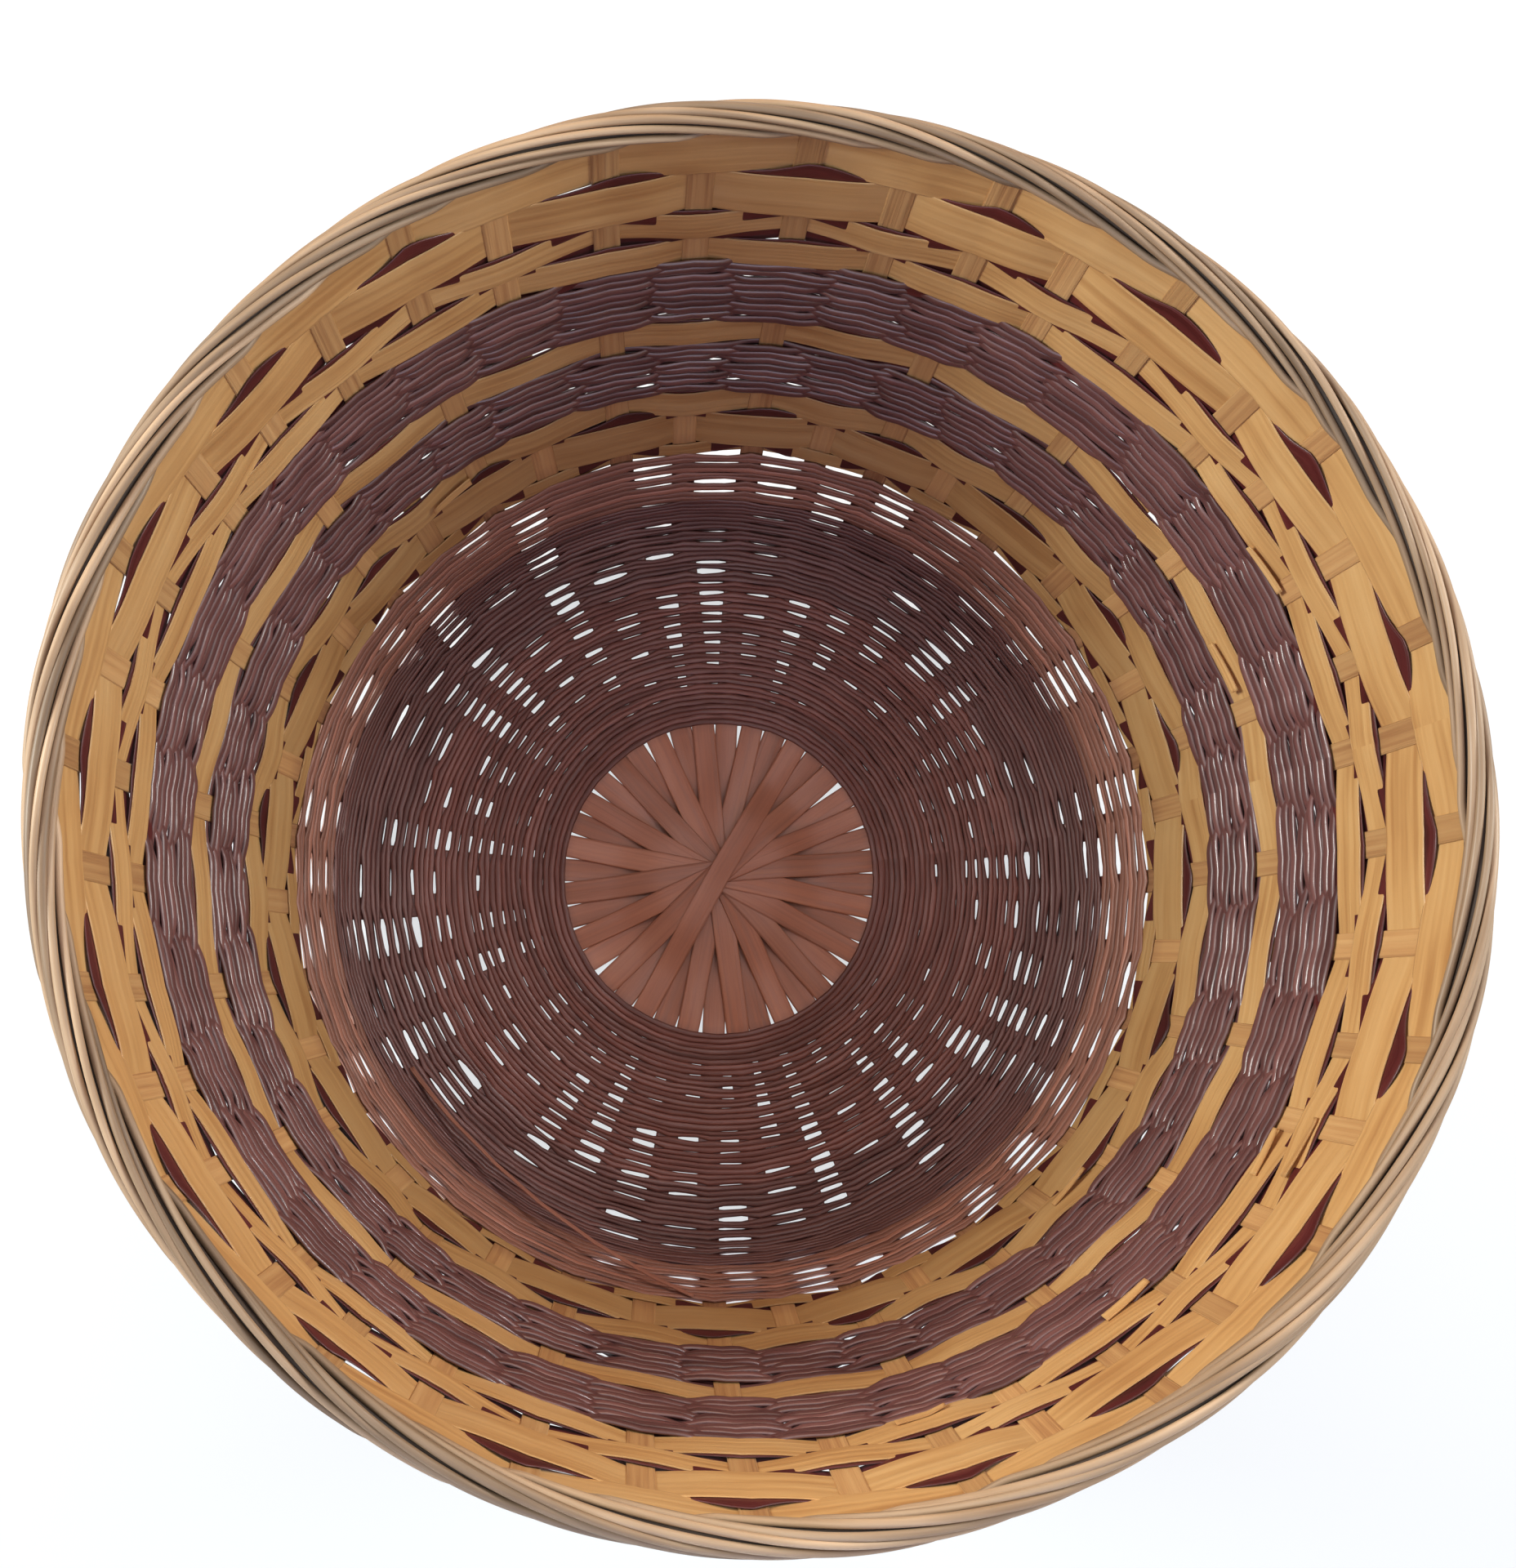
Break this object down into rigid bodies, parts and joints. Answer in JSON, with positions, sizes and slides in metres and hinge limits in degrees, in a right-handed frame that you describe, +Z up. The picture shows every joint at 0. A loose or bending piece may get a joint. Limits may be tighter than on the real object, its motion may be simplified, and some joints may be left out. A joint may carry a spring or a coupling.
{
  "type": "wicker planter",
  "caption": "Round flared open-topped planter basket, woven from reeds and flat strips over splint stakes, with dark and dyed bands and a rolled cane border.",
  "frame": {"origin": "centre of the base on the plane that the basket stands on", "axes": "+Z up along the basket's axis, out of its mouth; +X through a stake that ends in the upper layer of the star"},
  "size_m": [0.2926, 0.2926, 0.1665],
  "materials": {
    "splint": "varnished split bamboo",
    "base_reed": "varnished reddish-brown reed",
    "dark_reed": "glossy dyed dark reed",
    "honey_strip": "varnished honey-coloured bamboo strip",
    "maroon_strip": "varnished strip dyed dark red",
    "border_cane": "smooth tan cane"
  },
  "bodies": {
    "root": {"base_splint_01": "splint", "base_splint_02": "splint", "base_splint_03": "splint", "base_splint_04": "splint", "base_splint_05": "splint", "base_splint_06": "splint", "base_splint_07": "splint", "base_splint_08": "splint", "base_splint_09": "splint", "base_splint_10": "splint", "base_splint_11": "splint", "base_splint_12": "splint", "base_splint_13": "splint", "base_splint_14": "splint", "base_splint_15": "splint", "base_splint_16": "splint", "base_splint_17": "splint", "base_splint_18": "splint", "base_splint_19": "splint", "base_splint_20": "splint", "base_weave": "base_reed", "foot_band": "dark_reed", "foot_row_1": "base_reed", "foot_row_2": "base_reed", "foot_row_3": "base_reed", "foot_row_4": "base_reed", "foot_row_5": "base_reed", "under_strip": "honey_strip", "lower_wide_strip": "honey_strip", "lower_maroon_strip": "maroon_strip", "lower_narrow_strip": "honey_strip", "lower_dark_band": "dark_reed", "middle_strip": "honey_strip", "upper_dark_band": "dark_reed", "upper_narrow_strip_1": "honey_strip", "upper_narrow_strip_2": "honey_strip", "upper_wide_strip": "honey_strip", "upper_maroon_strip": "maroon_strip", "rim_strip": "honey_strip", "rolled_border": "border_cane"}
  },
  "joints": []
}
